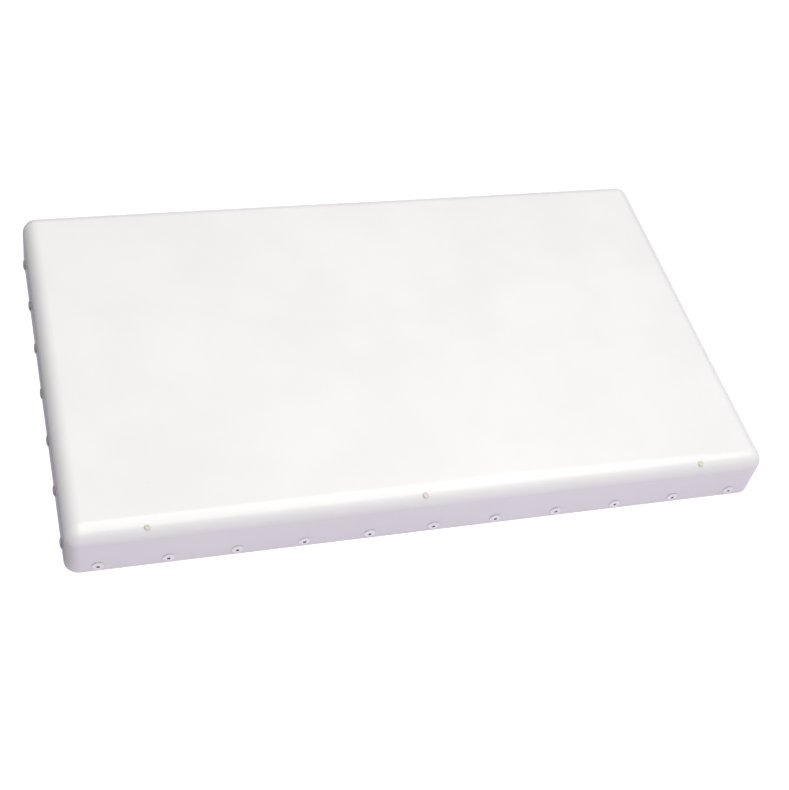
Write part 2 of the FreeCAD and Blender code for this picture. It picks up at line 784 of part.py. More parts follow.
def make_patches(name, side, low, probed):
    """One layer of square patches, each with its screw hole and, if driven, its probe hole."""
    body = new_body(name)
    square = new_sketch(body, at=("0", "0", low))
    rectangle(square, side, side, PATCH_FIRST)
    circle(square, "screw_hole", PATCH_FIRST)
    if probed:
        circle(square, "probe_hole", (PATCH_FIRST[0], f"{PATCH_FIRST[1]} - probe_offset"))
    patch_grid(body, pad(body, square, "patch_sheet"))


def make_fence(name, side):
    """An L-section strip that shapes the beam, welded to the floor beside the array."""
    body = new_body(name)
    angle = new_sketch(body, "YZ_Plane", (f"{side} * fence_place", "floor_top", "0"))
    foot, sheet = f"{side} * fence_foot", f"{side} * fence_sheet"
    outline(angle, [
        ("0", "0"),
        (foot, "0"),
        (foot, "fence_sheet"),
        (sheet, "fence_sheet"),
        (sheet, "fence_height"),
        ("0", "fence_height"),
    ])
    pad(body, angle, "fence_length", both_ways=True)


def make_radome_props():
    """Three pillars from the floor that hold up the middle and ends of the radome's face."""
    body = new_body("radome_props")
    places = (("0", "row_far"), ("-prop_end_place", "0"), ("prop_end_place", "0"))
    foot = new_sketch(body, at=("0", "0", "floor_top"))
    shaft = new_sketch(body, at=("0", "0", "floor_top"))
    for place in places:
        circle(foot, "prop_foot_radius", place)
        circle(shaft, "prop_radius", place)
    pad(body, foot, "prop_foot")
    pad(body, shaft, "ceiling - floor_top")


# ---- jack --------------------------------------------------------------------------------
JACK_PLACE = ("0", "0", "jack_place")


def jack_corners():
    """The four screw places of the jack's flange."""
    half = "jack_screw_pitch / 2"
    return [(f"{x} * {half}", f"{y} * {half} - jack_place") for x in (-1, 1) for y in (-1, 1)]


def make_jack_shell():
    """The jack's body: square flange, threaded barrel to the rear and a spigot into the floor."""
    body = new_body("jack_shell")
    barrel = new_sketch(body, "XZ_Plane", JACK_PLACE)
    thread_top = "jack_end + jack_thread_length"
    outline(barrel, [
        ("jack_bore", "jack_end"),
        ("jack_thread_radius", "jack_end"),
        ("jack_thread_radius", thread_top),
        ("jack_neck_radius", thread_top),
        ("jack_neck_radius", "jack_face"),
        ("jack_spigot_radius", "jack_face"),
        ("jack_spigot_radius", "floor_top"),
        ("jack_bore", "floor_top"),
    ])
    turn(body, barrel)
    flange = new_sketch(body, at=("0", "0", "jack_back"))
    rectangle(flange, "jack_flange_side", "jack_flange_side", ("0", "-jack_place"))
    circle(flange, "(jack_bore + jack_neck_radius) / 2", ("0", "-jack_place"))
    pad(body, flange, "jack_flange")
    holes = new_sketch(body)
    for corner in jack_corners():
        circle(holes, "screw_hole", corner)
    drill(body, holes)


def make_jack_gasket():
    """The square gasket between the jack's flange and the back plate."""
    body = new_body("jack_gasket")
    sheet = new_sketch(body, at=("0", "0", "jack_face"))
    rectangle(sheet, "jack_flange_side", "jack_flange_side", ("0", "-jack_place"))
    circle(sheet, "spigot_hole", ("0", "-jack_place"))
    for corner in jack_corners():
        circle(sheet, "screw_hole", corner)
    pad(body, sheet, "jack_gasket")


def make_jack_core():
    """The jack's insulator and its centre contact, whose tail rises through the board."""
    insulator = new_body("jack_insulator")
    sketch = new_sketch(insulator, "XZ_Plane", JACK_PLACE)
    outer = "jack_bore - fit_gap"
    outline(sketch, [
        ("contact_radius + fit_gap", "insulator_low"),
        (outer, "insulator_low"),
        (outer, "board_low"),
        ("probe_hole", "board_low"),
        ("probe_hole", "recess_depth"),
        ("contact_radius + fit_gap", "recess_depth"),
    ])
    turn(insulator, sketch)
    contact = new_body("jack_contact")
    sketch = new_sketch(contact, "XZ_Plane", JACK_PLACE)
    outline(sketch, [
        ("contact_bore", "contact_end"),
        ("contact_radius", "contact_end"),
        ("contact_radius", "recess_depth"),
        ("probe_radius", "recess_depth"),
        ("probe_radius", "track_top + contact_tail"),
        ("0", "track_top + contact_tail"),
        ("0", "contact_end + contact_bore_depth"),
        ("contact_bore", "contact_end + contact_bore_depth"),
    ])
    turn(contact, sketch)


def make_jack_fixings():
    """The jack's four screws from the rear and their nuts on the back plate."""
    first = ("-jack_screw_pitch / 2", "-jack_screw_pitch / 2 - jack_place")

    def square(body, feature):
        return grid(body, feature, "2", "jack_screw_pitch", "2", "jack_screw_pitch")

    low = "jack_back - screw_head_height"
    shape = [
        ("0", low),
        ("screw_head_radius - screw_head_chamfer", low),
        ("screw_head_radius", f"{low} + screw_head_chamfer"),
        ("screw_head_radius", "jack_back"),
        ("screw_radius", "jack_back"),
        ("screw_radius", "floor_top + jack_nut_height"),
        ("0", "floor_top + jack_nut_height"),
    ]
    turned_grid("jack_screws", shape, first, square)
    nut = tube("screw_hole", "jack_nut_radius", "floor_top", "floor_top + jack_nut_height")
    turned_grid("jack_nuts", nut, first, square)


# ---- vent and plate ----------------------------------------------------------------------
def make_vent():
    """The breather: a cap outside, a stem through the floor and a nut inside."""
    body = new_body("breather_vent")
    sketch = new_sketch(body, "XZ_Plane", ("-end_middle", "0", "0"))
    low = "recess_depth - vent_height"
    outline(sketch, [
        ("0", low),
        ("vent_radius - vent_chamfer", low),
        ("vent_radius", f"{low} + vent_chamfer"),
        ("vent_radius", "recess_depth"),
        ("vent_stem_radius", "recess_depth"),
        ("vent_stem_radius", "floor_top + vent_nut_height"),
        ("0", "floor_top + vent_nut_height"),
    ])
    turn(body, sketch)
    nut = new_body("breather_nut")
    flats = new_sketch(nut, at=("-end_middle", "0", "floor_top"))
    hexagon = [(f"vent_nut_radius * cos({60 * n})", f"vent_nut_radius * sin({60 * n})") for n in range(6)]
    outline(flats, hexagon)
    circle(flats, "vent_hole")
    pad(nut, flats, "vent_nut_height")


def make_plate():
    """The blank plate stuck to the back plate."""
    body = new_body("rating_plate")
    sheet = new_sketch(body, at=("0", "0", "recess_depth - plate_thick"))
    rectangle(sheet, "plate_length", "plate_depth", ("end_middle", "0"))
    pad(body, sheet, "plate_thick")
    soften(body, "plate_round", upright)


# ---- build -------------------------------------------------------------------------------
make_radome()
make_back_plate()
make_rim_bars()
make_seal_bead()
for side_name in RIM_SIDES:
    make_rim_row("rivets", side_name, rivet_outline("rim_grip"))
    make_rim_row("mandrels", side_name, mandrel_outline("rim_grip"))
make_weep_plugs()
make_rail("rail_left", -1)
make_rail("rail_right", 1)
make_rail_inserts()
make_rail_fixings("rail_rivets", rivet_outline("rail_grip"))
make_rail_fixings("rail_mandrels", mandrel_outline("rail_grip"))
make_feed_board()
make_feed_tracks()
make_fixings()
make_patches("driven_patches", "driven_side", "driven_low", True)
make_patches("parasitic_patches", "parasitic_side", "parasitic_low", False)
make_fence("fence_front", -1)
make_fence("fence_rear", 1)
make_radome_props()
make_jack_shell()
make_jack_gasket()
make_jack_core()
make_jack_fixings()
make_vent()
make_plate()

# ---- check and write ---------------------------------------------------------------------
doc.recompute()
for item in doc.Objects:
    if "Invalid" in item.State or "Error" in item.State:
        raise RuntimeError(f"{item.Label} failed: {item.State}")
os.makedirs("parts", exist_ok=True)
for piece in pieces:
    if piece.Shape.isNull() or not piece.Shape.isValid():
        raise RuntimeError(f"{piece.Label} has no valid shape")
for piece in pieces:
    piece.Shape.exportStep(f"parts/{piece.Label}.step")
    print(piece.Label, len(piece.Shape.Solids), "solids", round(piece.Shape.Volume, 1), "mm3")
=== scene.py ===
# %% [markdown]
# # A flat panel antenna, finished for a close look
#
# The frame is an exact model of the panel, lying on its rear rim with the radome up. This lesson
# gives it the surfaces that a maker would see on the bench: a formed plastic shell that isn't
# perfectly flat, blind rivets with a broken mandrel sunk in each head, cut threads on the jack,
# and metals that keep the marks of how they were rolled or turned.
#
# Lengths are in millimetres until the last step of each piece, which turns them into metres.

# %% Load the frame
import json
import math

import bmesh
import bpy
import numpy as np
from mathutils import Matrix, Vector


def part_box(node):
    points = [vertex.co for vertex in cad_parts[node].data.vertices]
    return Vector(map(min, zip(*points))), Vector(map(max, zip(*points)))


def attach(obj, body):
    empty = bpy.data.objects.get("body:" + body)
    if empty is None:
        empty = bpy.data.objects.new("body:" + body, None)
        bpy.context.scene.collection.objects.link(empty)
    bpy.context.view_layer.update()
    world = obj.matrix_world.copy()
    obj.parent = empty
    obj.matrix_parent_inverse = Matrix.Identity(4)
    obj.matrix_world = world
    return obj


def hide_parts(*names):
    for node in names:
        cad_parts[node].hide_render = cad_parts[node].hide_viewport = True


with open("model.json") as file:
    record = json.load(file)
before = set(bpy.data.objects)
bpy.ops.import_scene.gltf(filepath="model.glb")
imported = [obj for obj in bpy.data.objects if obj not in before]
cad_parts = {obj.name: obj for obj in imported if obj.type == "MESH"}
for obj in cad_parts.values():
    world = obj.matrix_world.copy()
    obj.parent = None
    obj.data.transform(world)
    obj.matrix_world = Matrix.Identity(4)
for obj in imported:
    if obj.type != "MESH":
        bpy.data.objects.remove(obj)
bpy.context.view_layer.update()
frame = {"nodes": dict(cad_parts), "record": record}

NODES = frame["nodes"]
MM = 0.001
RNG = np.random.default_rng(7)
print("frame pieces:", len(NODES))

# %% [markdown]
# ## Surfaces from arrays
#
# Every new piece is a grid of points: rows follow a profile, and columns go round or along. Two
# helpers turn such a grid into a mesh. A profile is a list of corners in which each corner has
# its own small radius, because no real edge is a knife edge, and a rounded edge catches light.

# %% Grids, profiles and turned shapes
def grid_faces(rows, columns, wrap=True):
    """Quads of a rows by columns grid, numbered row by row. wrap joins the last column to the first."""
    row = np.arange(rows - 1)[:, None] * columns
    column = np.arange(columns if wrap else columns - 1)[None, :]
    after = (column + 1) % columns
    corners = [row + column, row + after, row + columns + after, row + columns + column]
    return np.stack(corners, axis=-1).reshape(-1, 4)


def soft_profile(corners, steps=5):
    """A path through (across, along, radius) corners, as an (n, 2) array.

    Each corner with a radius becomes the curve (1-t)^2 a + 2 t (1-t) c + t^2 b, where c is the
    corner, and a and b lie one radius before and after it."""
    spots = np.array([c[:2] for c in corners], float)
    path = []
    for number, spot in enumerate(spots):
        radius = corners[number][2]
        if radius == 0 or number in (0, len(spots) - 1):
            path.append(spot[None, :])
            continue
        back, ahead = spots[number - 1] - spot, spots[number + 1] - spot
        a = spot + back / np.linalg.norm(back) * radius
        b = spot + ahead / np.linalg.norm(ahead) * radius
        t = np.linspace(0, 1, steps)[:, None]
        path.append((1 - t) ** 2 * a + 2 * t * (1 - t) * spot + t ** 2 * b)
    return np.concatenate(path)


def turned(profile, columns):
    """Points of a turned shape: (r cos a, r sin a, h) for each (r, h) of the profile and each angle a."""
    angle = np.arange(columns) * 2 * np.pi / columns
    across, along = profile[:, 0, None], profile[:, 1, None]
    return np.stack([across * np.cos(angle), across * np.sin(angle), along + 0 * angle], axis=-1)


def frames_facing(direction, spins):
    """One 3 by 3 frame for each spin, whose third column is the direction a turned shape points in."""
    out = np.array(direction, float) / np.linalg.norm(direction)
    side = np.cross([0, 0, 1], out) if abs(out[2]) < 0.99 else np.array([1.0, 0, 0])
    side = side / np.linalg.norm(side)
    up = np.cross(out, side)
    c, s = np.cos(spins)[:, None], np.sin(spins)[:, None]
    first, second = c * side + s * up, -s * side + c * up
    return np.stack([first, second, np.broadcast_to(out, first.shape)], axis=-1)


def copies(points, faces, places, frames):
    """Repeat one shape: each copy is frame times point plus place, all worked out as one array."""
    flat = points.reshape(-1, 3)
    spread = np.einsum("kij,nj->kni", frames, flat) + np.asarray(places, float)[:, None, :]
    shift = np.arange(len(places))[:, None, None] * len(flat)
    return spread.reshape(-1, 3), (faces[None] + shift).reshape(-1, faces.shape[1])


def make_piece(name, points, faces, finish, stands_for=(), crease=38):
    """Put millimetre points and quads into a mesh piece, close its seams and turn its faces outward."""
    mesh = bpy.data.meshes.new(name)
    mesh.from_pydata((np.asarray(points).reshape(-1, 3) * MM).tolist(), [], np.asarray(faces).tolist())
    shell = bmesh.new()
    shell.from_mesh(mesh)
    bmesh.ops.remove_doubles(shell, verts=shell.verts, dist=2e-7)
    bmesh.ops.dissolve_degenerate(shell, edges=shell.edges, dist=1e-8)
    bmesh.ops.recalc_face_normals(shell, faces=shell.faces)
    shell.to_mesh(mesh)
    shell.free()
    mesh.shade_smooth()
    mesh.set_sharp_from_angle(angle=math.radians(crease))
    piece = bpy.data.objects.new(name, mesh)
    bpy.context.scene.collection.objects.link(piece)
    mesh.materials.append(finish)
    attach(piece, "root")
    if stands_for:
        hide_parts(*stands_for)
    open_edges = sum(1 for face_count in edge_uses(mesh) if face_count != 2)
    triangles = sum(len(p.vertices) - 2 for p in mesh.polygons)
    print(f"{name}: {triangles} triangles, {open_edges} open edges")
    return piece


def edge_uses(mesh):
    """How many faces use each edge of a mesh."""
    used = np.zeros(len(mesh.loops), np.int64)
    mesh.loops.foreach_get("edge_index", used)
    return np.bincount(used, minlength=len(mesh.edges))


def node_span(node):
    """The low and high corner of a frame node, in millimetres."""
    low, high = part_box(node)
    return np.array(low) / MM, np.array(high) / MM


# %% [markdown]
# ## Shader groups
#
# Rolled, drawn and moulded surfaces share a few marks: long fine lines, soft cloudy patches,
# pinprick specks and the shallow dimpling of moulded plastic. Each is one node group that works
# on object coordinates in metres, so its scale is a real size, and each material uses it with
# values of its own.

# %% A small kit for building node trees
def new_group(name, inputs, outputs):
    """An empty shader group with named inputs (name, kind, value) and outputs (name, kind)."""
    group = bpy.data.node_groups.new(name, "ShaderNodeTree")
    for label, kind, value in inputs:
        socket = group.interface.new_socket(label, in_out="INPUT", socket_type=kind)
        if value is not None:
            socket.default_value = value
    for label, kind in outputs:
        group.interface.new_socket(label, in_out="OUTPUT", socket_type=kind)
    return group, group.nodes.new("NodeGroupInput"), group.nodes.new("NodeGroupOutput")


def add(tree, kind, wires=None, **values):
    """A node with its properties set, and plain numbers or other nodes' outputs on its inputs."""
    node = tree.nodes.new("ShaderNode" + kind)
    for label, value in values.items():
        setattr(node, label, value)
    for label, source in (wires or {}).items():
        if isinstance(source, bpy.types.NodeSocket):
            tree.links.new(source, node.inputs[label])
        else:
            node.inputs[label].default_value = source
    return node


def spread_range(tree, source, low, high, to_low=0.0, to_high=1.0):
    """Stretch the part of a value between low and high over a new range, with soft ends."""
    wires = {"Value": source, "From Min": low, "From Max": high, "To Min": to_low, "To Max": to_high}
    return add(tree, "MapRange", wires, interpolation_type="SMOOTHSTEP").outputs["Result"]


# %% Cloudy patches, drawn lines, specks and moulded dimpling
def build_cloud():
    """Soft patches: noise of a given size, pulled apart about its middle."""
    group, given, out = new_group(
        "soft_cloud",
        [("Vector", "NodeSocketVector", None), ("Scale", "NodeSocketFloat", 20.0),
            ("Detail", "NodeSocketFloat", 3.0)],
        [("Mask", "NodeSocketFloat")],
    )
    wires = {label: given.outputs[label] for label in ("Vector", "Scale", "Detail")}
    noise = add(group, "TexNoise", wires)
    group.links.new(spread_range(group, noise.outputs["Fac"], 0.3, 0.7), out.inputs["Mask"])
    return group


def build_drawn_lines():
    """Long fine lines of rolled or brushed metal: noise stretched along one direction, in two sizes."""
    group, given, out = new_group(
        "drawn_lines",
        [("Vector", "NodeSocketVector", None), ("Stretch", "NodeSocketVector", (1.0, 1.0, 1.0)),
         ("Scale", "NodeSocketFloat", 900.0)],
        [("Mask", "NodeSocketFloat"), ("Scratch", "NodeSocketFloat")],
    )
    squeezed = add(
        group, "VectorMath", {0: given.outputs["Vector"], 1: given.outputs["Stretch"]}, operation="MULTIPLY",
    )
    fine = add(
        group, "TexNoise",
        {"Vector": squeezed.outputs["Vector"], "Scale": given.outputs["Scale"], "Detail": 4.0},
    )
    broad_scale = add(group, "Math", {0: given.outputs["Scale"], 1: 0.22}, operation="MULTIPLY")
    broad = add(
        group, "TexNoise",
        {"Vector": squeezed.outputs["Vector"], "Scale": broad_scale.outputs[0], "Detail": 2.0},
    )
    blend = add(group, "Mix", {"Factor": 0.35, "A": fine.outputs["Fac"], "B": broad.outputs["Fac"]})
    group.links.new(spread_range(group, blend.outputs["Result"], 0.32, 0.68), out.inputs["Mask"])
    group.links.new(spread_range(group, broad.outputs["Fac"], 0.66, 0.72), out.inputs["Scratch"])
    return group


def build_specks():
    """Pinprick inclusions: the close neighbourhood of scattered points, as dark or tan dots."""
    group, given, out = new_group(
        "pinprick_specks",
        [("Vector", "NodeSocketVector", None), ("Scale", "NodeSocketFloat", 40.0),
            ("Size", "NodeSocketFloat", 0.014)],
        [("Mask", "NodeSocketFloat"), ("Shade", "NodeSocketFloat")],
    )
    points = add(group, "TexVoronoi", {"Vector": given.outputs["Vector"], "Scale": given.outputs["Scale"]})
    near = add(group, "Math", {0: points.outputs["Distance"], 1: given.outputs["Size"]}, operation="DIVIDE")
    group.links.new(spread_range(group, near.outputs[0], 0.6, 1.0, 1.0, 0.0), out.inputs["Mask"])
    split = add(group, "SeparateColor", {"Color": points.outputs["Color"]})
    group.links.new(split.outputs["Red"], out.inputs["Shade"])
    return group


def build_dimpling():
    """The shallow dimpling of moulded or sprayed plastic: rounded cells over slower waves."""
    group, given, out = new_group(
        "moulded_dimpling",
        [("Vector", "NodeSocketVector", None), ("Scale", "NodeSocketFloat", 300.0)],
        [("Height", "NodeSocketFloat")],
    )
    cells = add(
        group, "TexVoronoi", {"Vector": given.outputs["Vector"], "Scale": given.outputs["Scale"]},
        feature="SMOOTH_F1",
    )
    slow_scale = add(group, "Math", {0: given.outputs["Scale"], 1: 0.12}, operation="MULTIPLY")
    slow = add(
        group, "TexNoise", {"Vector": given.outputs["Vector"], "Scale": slow_scale.outputs[0], "Detail": 1.0},
    )
    blend = add(group, "Mix", {"Factor": 0.6, "A": cells.outputs["Distance"], "B": slow.outputs["Fac"]})
    group.links.new(blend.outputs["Result"], out.inputs["Height"])
    return group


GROUPS = {
    "cloud": build_cloud(),
    "lines": build_drawn_lines(),
    "specks": build_specks(),
    "dimpling": build_dimpling(),
}
print("shader groups:", sorted(g.name for g in GROUPS.values()))


# %% Using the groups in a material
def new_finish(name, **plain):
    """A material with one Principled shader, its plain numbers set, and object coordinates ready."""
    finish = bpy.data.materials.new(name)
    finish.use_nodes = True
    tree = finish.node_tree
    shader = tree.nodes["Principled BSDF"]
    for label, value in plain.items():
        shader.inputs[label.replace("_", " ")].default_value = value
    place = tree.nodes.new("ShaderNodeTexCoord").outputs["Object"]
    return finish, tree, shader, place


def effect(tree, name, place, **values):
    """One of the shared groups, placed in a material with its own values."""
    node = tree.nodes.new("ShaderNodeGroup")
    node.node_tree = GROUPS[name]
    tree.links.new(place, node.inputs["Vector"])
    for label, value in values.items():
        node.inputs[label].default_value = value
    return node.outputs


def tinted(tree, mask, first, second):
    """A colour that goes from first to second as the mask goes from 0 to 1."""
    mix = add(tree, "Mix", {"Factor": mask}, data_type="RGBA")
    for label, colour in (("A", first), ("B", second)):
        socket = next(s for s in mix.inputs if s.name == label and s.type == "RGBA")
        if isinstance(colour, bpy.types.NodeSocket):
            tree.links.new(colour, socket)
        else:
            socket.default_value = (*colour, 1.0)
    return next(s for s in mix.outputs if s.type == "RGBA")


def raised(tree, height, distance, strength=1.0, under=None):
    """A bump from a height between 0 and 1, over the given distance in millimetres."""
    wires = {"Height": height, "Distance": distance * MM, "Strength": strength}
    if under is not None:
        wires["Normal"] = under
    return add(tree, "Bump", wires).outputs["Normal"]


# %% [markdown]
# ## Metals and plastics of the panel
#
# Sheet and bar aluminium is rolled or drawn, so its grain runs along the stock and its sheen
# changes in patches where oil or hands have been. Turned parts have rings instead of lines.
# Moulded parts have a faint dimpling and a colour that is never quite even. One function makes
# each family, and each part of the panel gets values that suit how it was made.

# %% Metal and plastic makers
def metal(name, light, dark, rough, stretch=(1, 1, 1), scale=900, relief=0.004, patches=26, **plain):
    """Drawn or rolled metal: lines in colour, roughness and relief, under slow patches of handling."""
    finish, tree, shader, place = new_finish(name, Metallic=1.0, **plain)
    lines = effect(tree, "lines", place, Stretch=stretch, Scale=scale)
    patch = effect(tree, "cloud", place, Scale=patches, Detail=3.0)["Mask"]
    between = tuple((a + b) / 2 for a, b in zip(light, dark))
    base = tinted(tree, lines["Mask"], between, light)
    handled = add(tree, "Math", {0: patch, 1: 0.55}, operation="MULTIPLY").outputs[0]
    tree.links.new(tinted(tree, handled, base, dark), shader.inputs["Base Color"])
    streak = spread_range(tree, lines["Mask"], 0, 1, rough - 0.05, rough + 0.05)
    worn = add(tree, "Math", {0: patch, 1: 0.09, 2: streak}, operation="MULTIPLY_ADD").outputs[0]
    tree.links.new(worn, shader.inputs["Roughness"])
    tree.links.new(raised(tree, lines["Mask"], relief), shader.inputs["Normal"])
    return finish


def plastic(name, light, dark, rough, dimple=300, relief=0.006, speck=0.0, **plain):
    """Moulded plastic: two close tones in soft patches, a faint dimpling, and pinprick specks."""
    finish, tree, shader, place = new_finish(name, **plain)
    patch = effect(tree, "cloud", place, Scale=14.0, Detail=4.0)["Mask"]
    colour = tinted(tree, patch, dark, light)
    if speck:
        specks = effect(tree, "specks", place, Scale=42.0, Size=speck)
        dot = tinted(tree, specks["Shade"], (0.16, 0.13, 0.10), (0.62, 0.50, 0.28))
        colour = tinted(tree, specks["Mask"], colour, dot)
    tree.links.new(colour, shader.inputs["Base Color"])
    rubbed = effect(tree, "cloud", place, Scale=31.0, Detail=5.0)["Mask"]
    tree.links.new(spread_range(tree, rubbed, 0, 1, rough - 0.03, rough + 0.04), shader.inputs["Roughness"])
    height = effect(tree, "dimpling", place, Scale=dimple)["Height"]
    tree.links.new(raised(tree, height, relief), shader.inputs["Normal"])
    return finish


# %% The finishes
ALONG_X, ALONG_Y, ALONG_Z = (0.02, 1, 1), (1, 0.02, 1), (1, 1, 0.02)
FINISHES = {
    "radome_plastic": plastic("gloss_radome_shell", (0.86, 0.857, 0.845), (0.83, 0.827, 0.815), 0.17,
                              dimple=240, relief=0.010, speck=0.012, Coat_Weight=0.35, Coat_Roughness=0.06),
    "plate_metal": metal("rolled_sheet", (0.84, 0.845, 0.85), (0.70, 0.70, 0.705), 0.33, ALONG_X),
    "bar_metal": metal("drawn_bar", (0.80, 0.80, 0.81), (0.66, 0.66, 0.67), 0.36, ALONG_X, 700),
    "rail_metal": metal("folded_rail", (0.81, 0.81, 0.82), (0.66, 0.665, 0.67), 0.34, ALONG_Y, 700),
    "patch_metal": metal("cut_sheet", (0.86, 0.86, 0.865), (0.74, 0.74, 0.75), 0.28, ALONG_Y, 1100),
    "label_metal": metal(
        "brushed_plate", (0.90, 0.90, 0.90), (0.78, 0.78, 0.785), 0.30, (0.012, 1, 1), 1600, 0.006,
    ),
    "rivet_metal": metal(
        "rivet_aluminium", (0.97, 0.97, 0.94), (0.90, 0.90, 0.87), 0.40, (1, 1, 1), 1500, 0.008, 240,
    ),
    # Painted shade: the mandrel steel is coloured near black, far darker than bare steel, to stand in for the
    # shade deep in each rivet's bore.
    "mandrel_steel": metal(
        "dark_mandrel_with_painted_bore_shade", (0.13, 0.115, 0.10), (0.05, 0.045, 0.04), 0.50, (1, 1, 1), 3000, 0.03, 400,
    ),
    "insert_steel": metal(
        "zinc_plate", (0.78, 0.77, 0.70), (0.58, 0.57, 0.52), 0.30, ALONG_Z, 1500, 0.004, 160,
    ),
    "screw_steel": metal(
        "stainless", (0.70, 0.69, 0.67), (0.52, 0.51, 0.50), 0.27, (1, 1, 1), 1800, 0.004, 200,
    ),
    "jack_plate": metal(
        "nickel_plate", (0.78, 0.755, 0.71), (0.60, 0.575, 0.53), 0.18, (1, 1, 0.05), 2200, 0.002, 150,
    ),
    "contact_brass": metal(
        "gold_flash", (0.93, 0.74, 0.36), (0.74, 0.54, 0.22), 0.20, ALONG_Z, 2600, 0.002, 300,
    ),
    "copper_track": metal(
        "tinned_copper", (0.88, 0.62, 0.46), (0.66, 0.40, 0.27), 0.30, (1, 1, 1), 1200, 0.006, 60,
    ),
    "plug_plastic": plastic(
        "weep_plug", (0.82, 0.78, 0.66), (0.74, 0.70, 0.58), 0.42, 900, 0.010, Subsurface_Weight=0.05,
    ),
    "nylon": plastic(
        "natural_nylon", (0.84, 0.83, 0.78), (0.76, 0.75, 0.69), 0.40, 700, 0.010, Subsurface_Weight=0.10,
    ),
    "ptfe": plastic("turned_fluoroplastic", (0.90, 0.90, 0.885), (0.84, 0.84, 0.83), 0.46, 900, 0.006),
    "gasket_rubber": plastic("gasket_rubber", (0.035, 0.035, 0.036), (0.02, 0.02, 0.021), 0.62, 800, 0.020),
    "vent_plastic": plastic("black_vent", (0.045, 0.045, 0.048), (0.028, 0.028, 0.030), 0.45, 1100, 0.016),
    "sealant": plastic("cured_sealant", (0.72, 0.72, 0.70), (0.62, 0.62, 0.60), 0.40, 160, 0.12),
}


def laminate():
    """Glass-cloth laminate: a fine square weave under a pale green-tan resin, with a satin surface."""
    finish, tree, shader, place = new_finish("glass_laminate", Coat_Weight=0.25, Coat_Roughness=0.25)
    threads = [
        add(tree, "TexWave",
            {"Vector": place, "Scale": 420.0, "Distortion": 0.6, "Detail": 1.0, "Detail Scale": 2.0},
            bands_direction=axis).outputs["Fac"]
        for axis in ("X", "Y")
    ]
    weave = add(tree, "Math", {0: threads[0], 1: threads[1]}, operation="MULTIPLY").outputs[0]
    patch = effect(tree, "cloud", place, Scale=9.0, Detail=3.0)["Mask"]
    resin = tinted(tree, patch, (0.56, 0.54, 0.36), (0.62, 0.60, 0.43))
    tree.links.new(tinted(tree, weave, resin, (0.70, 0.68, 0.52)), shader.inputs["Base Color"])
    tree.links.new(spread_range(tree, weave, 0, 1, 0.42, 0.52), shader.inputs["Roughness"])
    tree.links.new(raised(tree, weave, 0.02), shader.inputs["Normal"])
    return finish


FINISHES["board_laminate"] = laminate()
slot_of = {part["node"]: part["material_slot"] for part in frame["record"]["subparts"]}
for node_name, node in NODES.items():
    node.data.materials.clear()
    node.data.materials.append(FINISHES[slot_of[node_name]])
print("finishes:", len(FINISHES), "on", len(NODES), "frame pieces")

# %% [markdown]
# ## The radome's skin
#
# The shell is one sheet of plastic formed over a mould: a flat face, one large round shoulder
# and straight walls with a cut rim. Such a shell could be a box with bevels, but a bevel gives
# every edge the same perfect curve. Here the surface is a profile carried round the plan, so it
# can also have what forming leaves behind: a face that is wavy by a fraction of a millimetre,
# and walls drawn in a little where each rivet pulls them.

# %% The profile and the plan
WALL, SHOULDER, CORNER, LIP = 3.0, 14.5, 12.0, 0.4
_, high_corner = node_span("radome")
HALF_X, HALF_Y, FACE_Z = high_corner
INNER_SHOULDER, INNER_CORNER = SHOULDER - WALL, CORNER - WALL


def arc_stations(start, stop, steps, shoulder, corner):
    """Stations of a quarter-round shoulder. At angle a the inset is S - s sin(a) and the height is
    base + s cos(a), where S is the outer shoulder and s this one; the plan corner shrinks in
    step, as corner sin(a); and waviness moves the point along (sin(a), cos(a))."""
    a = np.linspace(start, stop, steps)
    inset, height = SHOULDER - shoulder * np.sin(a), FACE_Z - SHOULDER + shoulder * np.cos(a)
    return np.stack([inset, corner * np.sin(a), height, np.sin(a), np.cos(a)], axis=1)


def wall_stations(inset, corner, heights):
    """Stations down or up a straight wall at one inset."""
    return np.array([(inset, corner, z, 1, 0) for z in heights], float)


def skin_profile():
    """Stations from the ceiling, down inside, round the rim, up outside and over to the face, each
    as (inset from the outer plan, plan corner radius, height, out, up)."""
    lip = soft_profile([(WALL, 3.0, 0), (WALL, 0, LIP), (0, 0, LIP), (0, 3.0, 0)], 4)[1:]
    rim = np.stack([lip[:, 0], CORNER - lip[:, 0], lip[:, 1], 1 + 0 * lip[:, 0], 0 * lip[:, 0]], axis=1)
    near_rivets = (4.2, 5.2, 6.1, 7.0, 7.9, 8.8, 9.8, 11.0, 14.0, 18.0, 22.0, 26.0, 29.5)
    parting = (31.2, 31.8, 32.2, 32.5, 32.8, 33.2)
    return np.concatenate([
        arc_stations(0, np.pi / 2, 10, INNER_SHOULDER, INNER_CORNER),
        wall_stations(WALL, INNER_CORNER, (26.0, 18.0, 10.0, 3.0)),
        rim,
        wall_stations(0, CORNER, near_rivets + parting),
        arc_stations(np.pi / 2, 0, 25, SHOULDER, CORNER),
    ])


